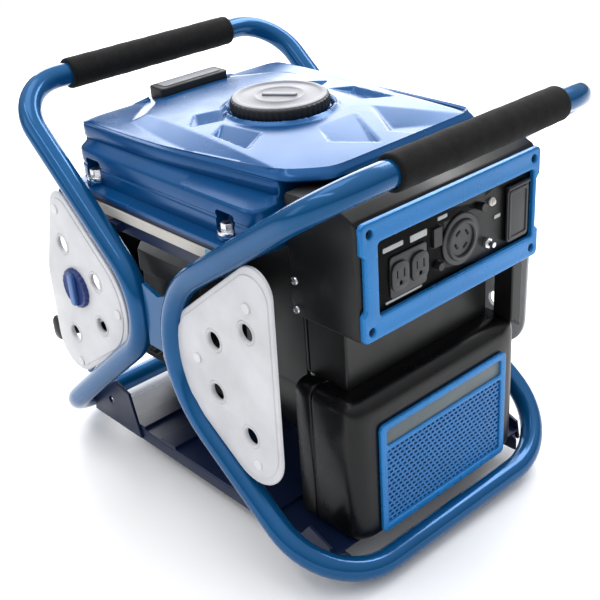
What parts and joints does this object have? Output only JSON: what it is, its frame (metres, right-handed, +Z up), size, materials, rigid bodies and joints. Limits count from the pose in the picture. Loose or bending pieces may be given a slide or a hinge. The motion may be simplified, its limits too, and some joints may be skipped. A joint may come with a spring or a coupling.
{
  "type": "portable generator",
  "caption": "Open-frame portable generator: bent tube loops carry an engine, alternator, fuel tank and control panel, with end handles, side plates and pull starter",
  "frame": {"origin": "middle of the bounding box in X and Y, on the floor under the rubber feet", "axes": "+X towards the control-panel end, -X the recoil-starter end, -Y the side with the engine dial, +Z up"},
  "size_m": [0.581, 0.423, 0.494],
  "materials": {
    "frame_blue": "gloss paint",
    "dark_blue": "satin paint",
    "tank_blue": "gloss paint",
    "trim_silver": "satin",
    "bolt_steel": "zinc plated",
    "shaft_steel": "ground",
    "cast_alloy": "cast",
    "rusted_pipe": "heat tinted",
    "muffler_steel": "matte",
    "brass": "turned",
    "black_rubber": "matte",
    "grip_foam": "matte foam",
    "black_plastic": "fine texture",
    "black_paint": "satin paint",
    "black_gloss": "satin gloss",
    "grey_plastic": "fine texture",
    "blue_plastic": "gloss",
    "yellow_plastic": "smooth",
    "ceramic": "glazed",
    "copper_winding": "lacquered laminations and wire",
    "white_cord": "braided"
  },
  "bodies": {
    "generator": {"left_loop": "frame_blue", "right_loop": "frame_blue", "welded_tabs": "frame_blue", "base_rails": "dark_blue", "corner_brackets": "dark_blue", "base_tray": "dark_blue", "rubber_feet": "black_rubber", "engine_isolators": "black_rubber", "left_grip": "grip_foam", "right_grip": "grip_foam", "near_left_plate": "trim_silver", "near_right_plate": "trim_silver", "far_side_plates": "trim_silver", "plate_screws": "bolt_steel", "tank_support_rails": "dark_blue", "trim_strips": "trim_silver", "fuel_tank": "tank_blue", "tank_bolts": "bolt_steel", "fuel_gauge": "grey_plastic", "fuel_tap": "brass", "fuel_hose": "black_rubber", "crankcase": "cast_alloy", "cylinder_barrel": "cast_alloy", "cylinder_head": "cast_alloy", "valve_cover": "black_paint", "spark_plug": "ceramic", "spark_plug_boot": "black_rubber", "drain_bolt": "bolt_steel", "fan_shroud": "black_paint", "recoil_housing": "black_paint", "carburettor": "cast_alloy", "air_filter_box": "black_plastic", "exhaust_pipe": "rusted_pipe", "muffler": "muffler_steel", "muffler_shield": "bolt_steel", "alternator_flange": "black_paint", "stator": "black_paint", "end_bracket": "cast_alloy", "rear_shell": "black_gloss", "grille": "blue_plastic", "grille_mesh": "blue_plastic", "control_box": "black_paint", "panel_face": "black_paint", "panel_bezel": "blue_plastic", "duplex_outlet": "black_plastic", "locking_outlet": "black_plastic", "ground_stud": "bolt_steel"},
    "engine_dial": {"engine_dial": "blue_plastic"},
    "fuel_cap": {"fuel_cap": "grey_plastic"},
    "crank": {"crankshaft": "shaft_steel", "flywheel_fan": "cast_alloy", "rotor": "copper_winding"},
    "recoil_handle": {"recoil_handle": "black_plastic", "recoil_rope": "white_cord"},
    "recoil_pulley": {"recoil_pulley": "black_plastic"},
    "oil_dipstick": {"oil_dipstick": "yellow_plastic"},
    "outlet_flap": {"outlet_flap": "black_plastic"},
    "rocker_switch": {"rocker_switch": "black_plastic"},
    "left_breaker_button": {"left_breaker_button": "black_plastic"},
    "right_breaker_button": {"right_breaker_button": "black_plastic"}
  },
  "joints": [
    {"name": "fuel_cap_turn", "type": "hinge", "parent": "generator", "child": "fuel_cap", "pos_m": [-0.0075, 0, 0.457], "axis": [0, 0, 1], "range_deg": [0, 90]},
    {"name": "engine_dial_turn", "type": "hinge", "parent": "generator", "child": "engine_dial", "pos_m": [-0.1655, -0.205, 0.25], "axis": [0, -1, 0], "range_deg": [0, 120]},
    {"name": "crank_spin", "type": "hinge", "parent": "generator", "child": "crank", "pos_m": [0, 0, 0.135], "axis": [1, 0, 0], "continuous": true},
    {"name": "recoil_pull", "type": "slide", "parent": "generator", "child": "recoil_handle", "axis": [-1, 0, 0], "range_m": [0, 0.06], "stiffness_N_per_m": 150},
    {"name": "recoil_pulley_turn", "type": "hinge", "parent": "generator", "child": "recoil_pulley", "pos_m": [-0.22, 0, 0.135], "axis": [1, 0, 0], "range_deg": [0, 77]},
    {"name": "dipstick_turn", "type": "hinge", "parent": "generator", "child": "oil_dipstick", "pos_m": [-0.14, 0.08, 0.095], "axis": [0, 1, 0], "range_deg": [-270, 0]},
    {"name": "outlet_flap_lift", "type": "hinge", "parent": "generator", "child": "outlet_flap", "pos_m": [0.2435, 0.1015, 0.388], "axis": [0, -1, 0], "range_deg": [0, 95]},
    {"name": "rocker_rock", "type": "hinge", "parent": "generator", "child": "rocker_switch", "pos_m": [0.238, -0.024, 0.372], "axis": [0, 1, 0], "range_deg": [-5, 5]},
    {"name": "left_breaker_press", "type": "slide", "parent": "generator", "child": "left_breaker_button", "axis": [-1, 0, 0], "range_m": [0, 0.003], "stiffness_N_per_m": 300},
    {"name": "right_breaker_press", "type": "slide", "parent": "generator", "child": "right_breaker_button", "axis": [-1, 0, 0], "range_m": [0, 0.003], "stiffness_N_per_m": 300}
  ],
  "couplings": [
    {"joint": "recoil_pulley_turn", "follows": "recoil_pull", "rad_per_m": 22.2}
  ]
}
